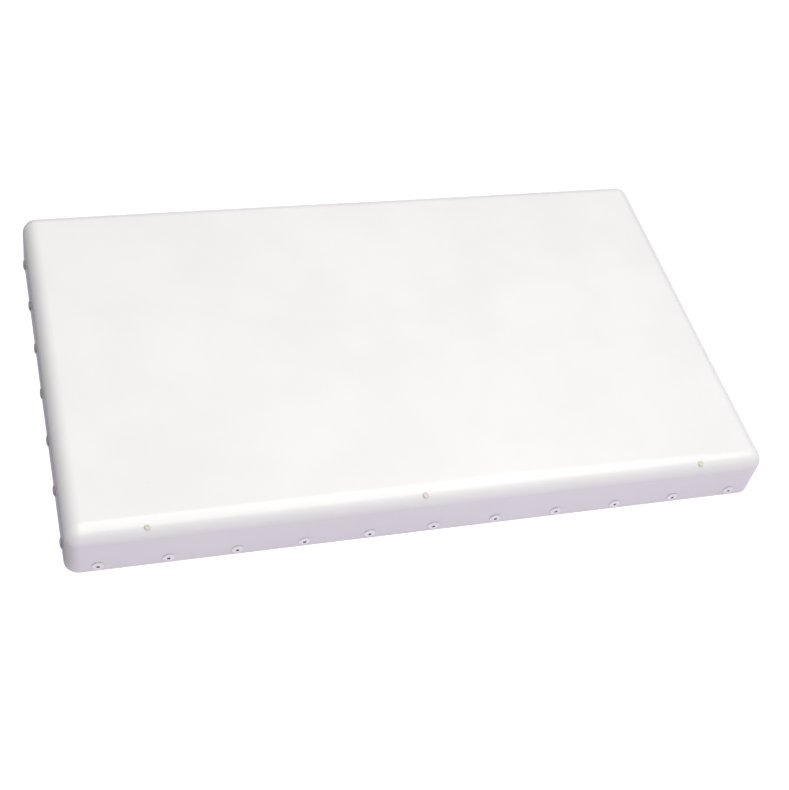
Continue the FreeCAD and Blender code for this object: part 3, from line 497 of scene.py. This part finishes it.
def plan_columns(long_steps, short_steps, corner_steps):
    """Shares of the half sizes and the outward direction at each column, all the way round.

    A side's columns run from share -1 to 1 and face one way; a corner's columns stay at the
    corner and turn a quarter, so that share * (half size - inset - radius) + radius * way draws
    straight sides and round corners alike."""
    shares, ways = [], []
    x, y = np.linspace(-1, 1, long_steps + 1), np.linspace(-1, 1, short_steps + 1)
    quarter = np.linspace(0, np.pi / 2, corner_steps + 1)[1:-1]
    sides = (
        (x, -1 + 0 * x, -np.pi / 2), (1 + 0 * y, y, 0.0),
        (-x, 1 + 0 * x, np.pi / 2), (-1 + 0 * y, -y, np.pi),
    )
    for share_x, share_y, facing in sides:
        shares.append(np.stack([share_x, share_y], axis=1))
        ways.append(np.full(len(share_x), facing))
        shares.append(np.repeat([[share_x[-1], share_y[-1]]], len(quarter), axis=0))
        ways.append(facing + quarter)
    facing = np.concatenate(ways)
    return np.concatenate(shares), np.stack([np.cos(facing), np.sin(facing)], axis=1)


# %% [markdown]
# The waves are sums of sines of place, a few hands wide and under a fifth of a millimetre high,
# which is enough to bend a reflection and too little to see as shape. The pull of a rivet is a
# bell curve of the distance to it, and the groove is one of the distance from the mould's parting.

# %% Waves, pulls and the finished skin
RIVET_ROW, PARTING = 7.0, 32.5
front_low, front_high = node_span("rivets_front")
left_low, left_high = node_span("rivets_left")
HEAD = 4.75
FRONT_X = np.linspace(front_low[0] + HEAD, front_high[0] - HEAD, 11)
SIDE_Y = np.linspace(left_low[1] + HEAD, left_high[1] - HEAD, 7)
RIM = {
    "front": (np.stack([FRONT_X, -HALF_Y + 0 * FRONT_X, RIVET_ROW + 0 * FRONT_X], 1), (0, -1, 0)),
    "rear": (np.stack([FRONT_X, HALF_Y + 0 * FRONT_X, RIVET_ROW + 0 * FRONT_X], 1), (0, 1, 0)),
    "left": (np.stack([-HALF_X + 0 * SIDE_Y, SIDE_Y, RIVET_ROW + 0 * SIDE_Y], 1), (-1, 0, 0)),
    "right": (np.stack([HALF_X + 0 * SIDE_Y, SIDE_Y, RIVET_ROW + 0 * SIDE_Y], 1), (1, 0, 0)),
}


def wave_height(p):
    """Waviness in millimetres: three sines of place, less a bell-shaped pull round each rivet and
    a thin groove at the height where the two halves of the mould met."""
    x, y, z = p[..., 0], p[..., 1], p[..., 2]
    turn = 2 * np.pi
    wave = 0.15 * np.sin(turn * x / 410 + 0.6) * np.cos(turn * y / 330 + 0.3)
    wave += (0.06 * np.sin(turn * (x + 0.4 * y) / 173 + 1.1)
             + 0.03 * np.sin(turn * (y - 0.3 * x) / 97 + z / 30))
    rivets = np.concatenate([places for places, way in RIM.values()])
    near = np.sum((p[..., None, :] - rivets) ** 2, axis=-1).min(axis=-1)
    seam = 0.10 * np.exp(-((z - PARTING) / 0.45) ** 2)
    return wave * np.clip(z / 20, 0.15, 1) - 0.05 * np.exp(-near / 36) - seam


def radome_skin():
    """Points and quads of the shell: profile times plan, and a grid over the face and the ceiling."""
    long_steps, short_steps = 190, 110
    profile = skin_profile()
    shares, ways = plan_columns(long_steps, short_steps, 16)
    inset, radius, height, out, up = (profile[:, n, None] for n in range(5))
    points = np.stack([
        shares[:, 0] * (HALF_X - inset - radius) + radius * ways[:, 0],
        shares[:, 1] * (HALF_Y - inset - radius) + radius * ways[:, 1],
        height + 0 * ways[:, 0],
    ], axis=-1)
    way = np.stack([out * ways[:, 0], out * ways[:, 1], up + 0 * ways[:, 0]], axis=-1)
    points = points + way * wave_height(points)[..., None]
    faces = [grid_faces(len(profile), len(shares))]
    sheets = [points.reshape(-1, 3)]
    x, y = np.meshgrid(
        np.linspace(-1, 1, long_steps + 1) * (HALF_X - SHOULDER),
        np.linspace(-1, 1, short_steps + 1) * (HALF_Y - SHOULDER),
    )
    for level in (FACE_Z, FACE_Z - WALL):
        flat = np.stack([x, y, level + 0 * x], axis=-1)
        flat[..., 2] += wave_height(flat)
        faces.append(grid_faces(short_steps + 1, long_steps + 1, wrap=False) + sum(len(s) for s in sheets))
        sheets.append(flat.reshape(-1, 3))
    return np.concatenate(sheets), np.concatenate(faces)


skin_points, skin_faces = radome_skin()
make_piece(
    "radome_skin", skin_points, skin_faces, FINISHES["radome_plastic"], ["radome"],
    crease=50,
)

# %% [markdown]
# ## Blind rivets and what is left of their mandrels
#
# A blind rivet is a tube with a low domed head. Pulling its mandrel folds the tube behind the sheets
# into a bulb and then snaps, which leaves a ragged steel tip sunk in the middle of the head, its steel
# coloured near black as painted shade for the bore. The head is a turned profile, hollowed a little
# under a thin edge that stands just clear of the wall, with a shallow dome and a rolled lip at the bore.
# Each one is set at its own angle and a hair out of true, as by a hand tool.

# %% Rivet and mandrel shapes
BORE, SHANK, TAIL = 1.33, 2.4, 3.4
HEAD_HEIGHT, EDGE_TOP, LIP_START = 1.5, 0.58, 1.75


def rivet_shape(grip):
    """Profile of a set rivet: folded tail, shank through the grip, and a dome of the height
    h (1 - (r / R)^2.2) over its flat edge, all as one closed turned ring."""
    r = np.linspace(HEAD - 0.1, LIP_START, 12)
    rise = (1 - (r / HEAD) ** 2.2) / (1 - (LIP_START / HEAD) ** 2.2)
    dome = EDGE_TOP + (HEAD_HEIGHT - EDGE_TOP) * rise
    tail = soft_profile([
        (BORE, 1.0, 0), (BORE, -grip - 3.0, 0.25), (TAIL - 0.55, -grip - 3.0, 0.8), (TAIL, -grip - 1.4, 0.7),
        (TAIL - 0.1, -grip, 0.35), (SHANK, -grip, 0), (SHANK, 0, 0), (HEAD - 1.3, 0, 0.05),
        (HEAD - 0.9, 0.34, 0.05), (HEAD - 0.06, 0.4, 0.04), (HEAD, 0.5, 0.04), (HEAD - 0.1, EDGE_TOP, 0),
    ])
    lip = soft_profile([
        (LIP_START, HEAD_HEIGHT, 0), (BORE + 0.1, HEAD_HEIGHT - 0.02, 0.12), (BORE, 1.0, 0),
    ])[1:]
    ring = np.concatenate([tail[:-1], np.stack([r, dome], axis=1), lip])
    return turned(ring, 40), grid_faces(len(ring), 40)


def mandrel_shape(grip):
    """Profile of a broken mandrel: the ball that folded the tail, the stem, and a cupped break
    whose edge rises and falls as 0.09 r sin(2 a) + 0.05 r sin(5 a)."""
    ball = soft_profile([
        (0, -grip - 4.4, 0), (1.5, -grip - 4.4, 0.5), (2.2, -grip - 3.6, 0.4), (2.2, -grip - 3.0, 0.2),
        (1.25, -grip - 3.0, 0), (1.25, 0.55, 0.15), (0.9, 0.75, 0.1), (0.4, 0.5, 0.2), (0, 0.45, 0),
    ])
    points = turned(ball, 32)
    angle = np.arange(32) * 2 * np.pi / 32
    radius = np.hypot(points[..., 0], points[..., 1])
    tip = np.clip(points[..., 2] / 0.45, 0, 1)
    points[..., 2] += tip * radius * (0.09 * np.sin(2 * angle) + 0.05 * np.sin(5 * angle + 1))
    return points, grid_faces(len(ball), 32)


def set_fasteners(name, shape, places, way, finish, node):
    """Copies of a shape at the given places, each spun at random and tipped by up to two degrees."""
    points, faces = shape
    frames = frames_facing(way, RNG.uniform(0, 2 * np.pi, len(places)))
    tip = RNG.uniform(-0.02, 0.02, (len(places), 1))
    frames[:, :, 2] += tip * frames[:, :, 0]
    all_points, all_faces = copies(points, faces, places, frames)
    return make_piece(name, all_points, all_faces, FINISHES[finish], [node])


RIM_GRIP, RAIL_GRIP = 6.2, 4.5
for side, (places, way) in RIM.items():
    set_fasteners(f"set_rivets_{side}", rivet_shape(RIM_GRIP), places, way, "rivet_metal", f"rivets_{side}")
    set_fasteners(
        f"snapped_mandrels_{side}", mandrel_shape(RIM_GRIP), places, way, "mandrel_steel", f"mandrels_{side}",
    )
_, rail_high = node_span("rail_rivets")
foot_x, foot_y = rail_high[0] - HEAD, rail_high[1] - HEAD
SEAT_Z = node_span("back_plate")[0][2] - 2.5
ACROSS_RAIL = 56.0
foot_columns = (-foot_x, ACROSS_RAIL - foot_x, foot_x - ACROSS_RAIL, foot_x)
rail_places = np.array([(x, y, SEAT_Z) for x in foot_columns for y in (-foot_y, 0, foot_y)])
set_fasteners(
    "set_rivets_rail", rivet_shape(RAIL_GRIP), rail_places, (0, 0, -1), "rivet_metal", "rail_rivets",
)
set_fasteners(
    "snapped_mandrels_rail", mandrel_shape(RAIL_GRIP), rail_places, (0, 0, -1), "mandrel_steel",
    "rail_mandrels",
)

# %% [markdown]
# ## Weep plugs
#
# Three soft plastic plugs are pushed into holes low on the front shoulder. Each has a small
# rounded head with a dimple from the pin that pushed it out of its mould, and stands square to
# the curved surface.

# %% Three plugs on the shoulder
PLUG_LEAN = math.radians(50)
_, plug_high = node_span("weep_plugs")
plug_x = plug_high[0] - 2.5
shoulder_y, shoulder_z = HALF_Y - SHOULDER, FACE_Z - SHOULDER
plug_ring = soft_profile([
    (0, -4.6, 0), (1.3, -4.6, 0.3), (2.1, -3.4, 0.2), (1.7, -3.4, 0), (1.7, -0.1, 0), (2.45, -0.1, 0.05),
    (2.5, 0.75, 0.35), (1.9, 1.3, 0.5), (0.62, 1.32, 0.16), (0.42, 0.85, 0.12), (0, 0.8, 0),
], 6)
plug_places = np.array([
    (x, -shoulder_y - SHOULDER * math.cos(PLUG_LEAN), shoulder_z + SHOULDER * math.sin(PLUG_LEAN))
    for x in (-plug_x, -12.0, plug_x)
])
plug_way = (0, -math.cos(PLUG_LEAN), math.sin(PLUG_LEAN))
plug_frames = frames_facing(plug_way, RNG.uniform(0, 2 * np.pi, 3))
plug_points, plug_faces = copies(
    turned(plug_ring, 40), grid_faces(len(plug_ring), 40), plug_places, plug_frames,
)
make_piece("pushed_plugs", plug_points, plug_faces, FINISHES["plug_plastic"], ["weep_plugs"])

# %% [markdown]
# ## The threaded jack
#
# The jack's body is nickel-plated brass: a barrel with a cut thread, a neck, a square flange
# with soft corners and a spigot through the back plate. It could be a cylinder with rings on
# it, but a thread is a helix and its ends run out, so here the radius depends on both the
# height and the angle. The flange uses the same rings of points, pushed out to a square.

# %% A cut thread, and a ring that turns from round to square
THREAD_RISE = 1.058


def cut_thread(height, angle, rise, depth, low, high, fade=0.9):
    """How deep a thread is cut at each height and angle: depth times |2 frac(u) - 1| with softened
    crests, where u = height / rise - angle / (2 pi), fading to nothing at both ends."""
    u = height / rise - angle / (2 * np.pi)
    vee = np.abs(2 * (u - np.floor(u)) - 1)
    cut = np.clip(1.15 * vee - 0.10, 0, 0.95)
    ends = np.clip((height - low) / fade, 0, 1) * np.clip((high - height) / fade, 0, 1)
    return depth * cut * ends


def squared(angle, half, power=16):
    """Radius of a square with soft corners: half / (|cos a|^p + |sin a|^p)^(1/p)."""
    return half / (np.abs(np.cos(angle)) ** power + np.abs(np.sin(angle)) ** power) ** (1 / power)


jack_low, jack_high = node_span("jack_shell")
JACK_X, JACK_Y = (jack_low[:2] + jack_high[:2]) / 2
MOUTH, SPIGOT_TOP = jack_low[2], jack_high[2]
THREAD_TOP = MOUTH + 12
FLANGE_BACK, FLANGE_FRONT = MOUTH + 18.9, MOUTH + 20.5


def jack_shell():
    """The closed ring of the jack: bore, mouth, thread, neck, flange, spigot and back into the bore."""
    columns = 128
    angle = np.arange(columns) * 2 * np.pi / columns
    thread = np.linspace(MOUTH + 0.45, THREAD_TOP - 0.3, 170)
    start = soft_profile(
        [(4.2, MOUTH + 5, 0), (4.2, MOUTH, 0.35), (7.55, MOUTH, 0.25), (7.94, MOUTH + 0.45, 0)], 4,
    )
    body = np.stack([np.full(170, 7.94), thread], axis=1)
    neck = soft_profile([(7.94, THREAD_TOP - 0.3, 0), (7.1, THREAD_TOP, 0.2), (7.1, FLANGE_BACK, 0)], 5)
    flange = [(9.5, FLANGE_BACK), (12.45, FLANGE_BACK), (12.62, FLANGE_BACK + 0.06),
        (12.7, FLANGE_BACK + 0.25),
              (12.7, FLANGE_FRONT - 0.25), (12.62, FLANGE_FRONT - 0.06), (12.45, FLANGE_FRONT),
              (9.0, FLANGE_FRONT)]
    spigot = soft_profile(
        [(5.3, FLANGE_FRONT, 0), (5.3, SPIGOT_TOP, 0.2), (4.2, SPIGOT_TOP, 0.1), (4.2, MOUTH + 5, 0)], 4,
    )
    ring = np.concatenate([start, body, neck, flange, spigot])
    across = np.repeat(ring[:, 0, None], columns, axis=1)
    along = np.repeat(ring[:, 1, None], columns, axis=1)
    threaded = slice(len(start), len(start) + len(body))
    across[threaded] -= cut_thread(along[threaded], angle, THREAD_RISE, 0.62, MOUTH + 0.4, THREAD_TOP - 0.3)
    first = len(start) + len(body) + len(neck)
    half = across[first:first + len(flange)]
    across[first:first + len(flange)] = half * squared(angle, 1.0)
    points = np.stack([JACK_X + across * np.cos(angle), JACK_Y + across * np.sin(angle), along], axis=-1)
    return points, grid_faces(len(ring), columns)


jack_points, jack_faces = jack_shell()
make_piece(
    "threaded_jack", jack_points, jack_faces, FINISHES["jack_plate"], ["jack_shell"], crease=30,
)


# %% Jack screws with driven crosses
def cross_screw(columns=72):
    """A pan head over its shank, with a cross recess. On the head's top the recess is as deep as
    0.85 (1 - r / 1.7) wherever a point is within the narrow arms |x| < w or |y| < w."""
    top = np.concatenate([
        [(0, 4.6), (1.3, 4.6), (1.5, 4.4), (1.5, 0.0), (2.75, 0.0), (2.8, -0.1), (2.8, -0.9)],
        soft_profile([(2.8, -0.9, 0), (2.7, -1.75, 0.6), (2.0, -2.0, 0)], 8)[1:],
        np.stack([np.linspace(1.9, 0, 24), np.full(24, -2.0)], axis=1),
    ])
    points = turned(top, columns)
    x, y, z = points[..., 0], points[..., 1], points[..., 2]
    radius = np.hypot(x, y)
    narrow = 0.36 - 0.08 * radius
    arm = np.clip((narrow - np.minimum(np.abs(x), np.abs(y))) / 0.10, 0, 1)
    deep = 0.85 * arm * np.clip((1.7 - radius) / 0.5, 0, 1) * (z < -1.9)
    points[..., 2] = z + deep
    return points, grid_faces(len(top), columns)


half_pitch = 18.3 / 2
screw_places = np.array(
    [(JACK_X + x, JACK_Y + y, FLANGE_BACK) for x in (-half_pitch, half_pitch) for y in (-half_pitch,
        half_pitch)],
)
screw_points, screw_faces = cross_screw()
screw_frames = frames_facing((0, 0, 1), RNG.uniform(0, 2 * np.pi, 4))
all_screws, all_screw_faces = copies(screw_points, screw_faces, screw_places, screw_frames)
make_piece(
    "driven_jack_screws", all_screws, all_screw_faces, FINISHES["screw_steel"],
    ["jack_screws"], crease=32,
)

# %% [markdown]
# ## Threaded inserts in the rails
#
# Each insert is a zinc-plated steel sleeve squeezed into the rail: a thin round flange on the
# rail's crown, and a bore with an M8 thread. The bore's thread is the same function as the
# jack's, cut outward instead of inward.

# %% Four inserts
def insert_shape(columns=72):
    """The closed ring of an insert: threaded bore, flange with a softened edge, and sleeve."""
    insert_low, insert_high = node_span("rail_inserts")
    low, high, crown = insert_low[2], insert_high[2], insert_low[2] + 1.5
    angle = np.arange(columns) * 2 * np.pi / columns
    bore = np.stack([np.full(150, 3.4), np.linspace(high - 0.3, low + 0.6, 150)], axis=1)
    rest = soft_profile([
        (3.4, low + 0.6, 0), (4.0, low, 0.12), (7.0, low, 0.35), (7.0, crown, 0.25), (5.5, crown, 0),
        (5.5, high, 0.3),
        (3.8, high, 0.1), (3.4, high - 0.3, 0),
    ], 5)
    ring = np.concatenate([bore, rest])
    across = np.repeat(ring[:, 0, None], columns, axis=1)
    along = np.repeat(ring[:, 1, None], columns, axis=1)
    across[:150] += cut_thread(along[:150], angle, 1.25, 0.6, low + 0.6, high - 0.3, 0.6)
    return np.stack(
        [across * np.cos(angle), across * np.sin(angle), along], axis=-1), grid_faces(len(ring), columns,
    )


insert_points, insert_faces = insert_shape()
insert_places = np.array([(x, y, 0) for x in (-100.0, 100.0) for y in (-50.0, 50.0)])
all_inserts, all_insert_faces = copies(
    insert_points, insert_faces, insert_places, frames_facing((0, 0, 1), RNG.uniform(0, 6, 4)),
)
make_piece(
    "threaded_inserts", all_inserts, all_insert_faces, FINISHES["insert_steel"],
    ["rail_inserts"], crease=30,
)

# %% [markdown]
# ## The breather's cap
#
# A breather lets the sealed box equalise its pressure. Its moulded cap has a ribbed edge for
# the fingers and a shallow ring of slots round a raised middle, behind which a membrane sits.

# %% A ribbed cap
def vent_shape(columns=144):
    """Turned cap whose edge is drawn in by 0.35 mm between 24 ribs, with 8 slots sunk in its face:
    the slot's depth is 0.9 where cos(8 a) is high and the radius is between 4 and 6 mm."""
    vent_low, vent_high = node_span("breather_vent")
    low, top = vent_low[2], vent_high[2]
    seat = low + 6
    face = np.stack([np.linspace(0, 7.2, 36), np.full(36, low)], axis=1)
    side = soft_profile([
        (7.4, low, 0), (8.6, low, 0.7), (9.0, low + 1.2, 0.4), (9.0, seat, 0.2), (5.9, seat, 0),
        (5.9, top, 0.3), (0, top, 0),
    ], 6)
    ring = np.concatenate([face, side])
    points = turned(ring, columns)
    angle = np.arange(columns) * 2 * np.pi / columns
    radius = np.hypot(points[..., 0], points[..., 1])
    along = points[..., 2]
    ribs = np.clip(1.6 * np.cos(24 * angle) + 0.2, -1, 1) * 0.175 - 0.175
    on_edge = (radius > 8.2) & (along > low + 0.8) & (along < seat - 0.3)
    scale = 1 + np.where(on_edge, ribs / np.maximum(radius, 1), 0)
    points[..., 0] *= scale
    points[..., 1] *= scale
    slot_ring = np.clip((radius - 3.8) / 0.4, 0, 1) * np.clip((6.4 - radius) / 0.4, 0, 1)
    slots = np.clip(4 * (np.cos(8 * angle) - 0.35), 0, 1)
    hub = 0.35 * np.clip((7.0 - radius) / 0.5, 0, 1) * np.clip((radius - 3.2) / 0.4, 0, 1)
    points[..., 2] += (along < low + 0.05) * (0.9 * slot_ring * slots + hub)
    return points, grid_faces(len(ring), columns)


vent_low, vent_high = node_span("breather_vent")
vent_points, vent_faces = vent_shape()
vent_points = vent_points + np.array([(vent_low[0] + vent_high[0]) / 2, (vent_low[1] + vent_high[1]) / 2, 0])
make_piece(
    "ribbed_vent", vent_points, vent_faces, FINISHES["vent_plastic"], ["breather_vent"],
    crease=32,
)

# %% [markdown]
# ## The studio
#
# The panel lies on a pale floor under a broad soft light from above and in front, with a cool,
# slightly violet room all round. The floor glows: to the eye it stays plain and nearly white, while
# toward the walls of the panel it glows softer and cooler, a painted light from below.

# %% Floor, room and lights
def pale_floor():
    """A wide plain sheet under the rim that glows. The eye sees it almost evenly bright. Toward the panel it
    glows dimmer and lilac, a painted light on the walls, and nearly not at all beside the left wall, which
    paints shade on that wall."""
    floor_mesh = bpy.data.meshes.new("studio_floor")
    reach, level = 30.0, -0.0002
    corners = [(-reach, -reach, level), (reach, -reach, level), (reach, reach, level), (-reach, reach, level)]
    floor_mesh.from_pydata(corners, [], [(0, 1, 2, 3)])
    floor = bpy.data.objects.new("studio_floor", floor_mesh)
    bpy.context.scene.collection.objects.link(floor)
    finish, tree, shader, place = new_finish("pale_floor", Roughness=0.9)
    shader.inputs["Base Color"].default_value = (0.30, 0.29, 0.32, 1.0)
    # Painted shade: beside the left wall, behind its front end, the floor's glow toward the panel falls
    # almost to nothing, so that wall stays dark.
    spot = add(tree, "SeparateXYZ", {"Vector": place})
    beside = spread_range(tree, spot.outputs["X"], -0.31, -0.29, 1.0, 0.0)
    behind = spread_range(tree, spot.outputs["Y"], -0.26, -0.16)
    left_wall_painted_shade = add(tree, "Math", {0: beside, 1: behind}, operation="MULTIPLY").outputs[0]
    power = spread_range(tree, left_wall_painted_shade, 0, 1, 0.47, 0.03)
    # Painted light: the floor glows lilac toward the panel as a hidden lamp from below, while the camera sees
    # only the even white glow.
    lilac_floor_glow = add(tree, "Emission", {"Color": (1.06, 0.93, 1.20, 1.0), "Strength": power})
    bright = add(tree, "Emission", {"Color": (1.0, 1.0, 1.0, 1.0), "Strength": 0.97})
    seen = add(tree, "LightPath").outputs["Is Camera Ray"]
    glow = tree.nodes.new("ShaderNodeMixShader")
    for number, source in enumerate((seen, lilac_floor_glow.outputs[0], bright.outputs[0])):
        tree.links.new(source, glow.inputs[number])
    both = add(tree, "AddShader", {0: glow.outputs[0], 1: shader.outputs[0]})
    tree.links.new(both.outputs[0], tree.nodes["Material Output"].inputs["Surface"])
    floor_mesh.materials.append(finish)


def soft_room():
    """A cool room, dim near the horizon, dimmer to the left and brightest overhead."""
    world = bpy.data.worlds.new("soft_room")
    world.use_nodes = True
    tree = world.node_tree
    way = add(tree, "SeparateXYZ", {"Vector": tree.nodes.new("ShaderNodeTexCoord").outputs["Generated"]})
    low = spread_range(tree, way.outputs["Z"], 0.10, 0.50, 0.42, 0.38)
    left = spread_range(tree, way.outputs["X"], -0.85, -0.05, 0.0, 1.0)
    left = add(tree, "Mix", {0: left, 2: low, 3: 1.0}, data_type="FLOAT").outputs[0]
    over = spread_range(tree, way.outputs["Z"], 0.0, 0.6, 0.30, 1.08)
    level = add(tree, "Math", {0: left, 1: over}, operation="MULTIPLY").outputs[0]
    strength = add(tree, "Math", {0: level, 1: 0.55}, operation="MULTIPLY").outputs[0]
    tree.links.new(strength, tree.nodes["Background"].inputs["Strength"])
    tree.nodes["Background"].inputs["Color"].default_value = (1.0, 0.97, 1.04, 1.0)
    bpy.context.scene.world = world


def soft_light(name, place, aim, size, power, colour):
    """A square area light at a place, turned to its aim."""
    light = bpy.data.lights.new(name, "AREA")
    light.shape, light.size, light.energy, light.color = "SQUARE", size, power, colour
    lamp = bpy.data.objects.new(name, light)
    lamp.location = place
    lamp.rotation_euler = (Vector(aim) - Vector(place)).to_track_quat("-Z", "Y").to_euler()
    bpy.context.scene.collection.objects.link(lamp)


pale_floor()
soft_room()
soft_light("overhead_softbox", (0.10, -0.22, 1.28), (0.05, 0, 0), 1.7, 16.6, (1.0, 0.99, 0.94))
bpy.context.scene.view_settings.view_transform = "Standard"
print("studio: floor, room and softbox")

# %% [markdown]
# ## The camera
#
# It looks down at the front left corner from about arm's length, with a short telephoto lens,
# and is rolled a little, so the panel leans across the frame.

# %% Camera
eye = Vector((-0.3571, -0.8117, 0.9616))
ahead = Vector((0.2815, 0.6045, -0.7452)).normalized()
level_right = ahead.cross(Vector((0, 0, 1))).normalized()
level_up = level_right.cross(ahead)
ROLL = math.radians(13.82)
right = level_right * math.cos(ROLL) + level_up * math.sin(ROLL)
up = level_up * math.cos(ROLL) - level_right * math.sin(ROLL)
camera_data = bpy.data.cameras.new("camera")
camera_data.lens, camera_data.sensor_width = 65.44, 36.0
camera = bpy.data.objects.new("camera", camera_data)
camera.matrix_world = Matrix.Translation(eye) @ Matrix((right, up, -ahead)).transposed().to_4x4()
bpy.context.scene.collection.objects.link(camera)
bpy.context.scene.camera = camera
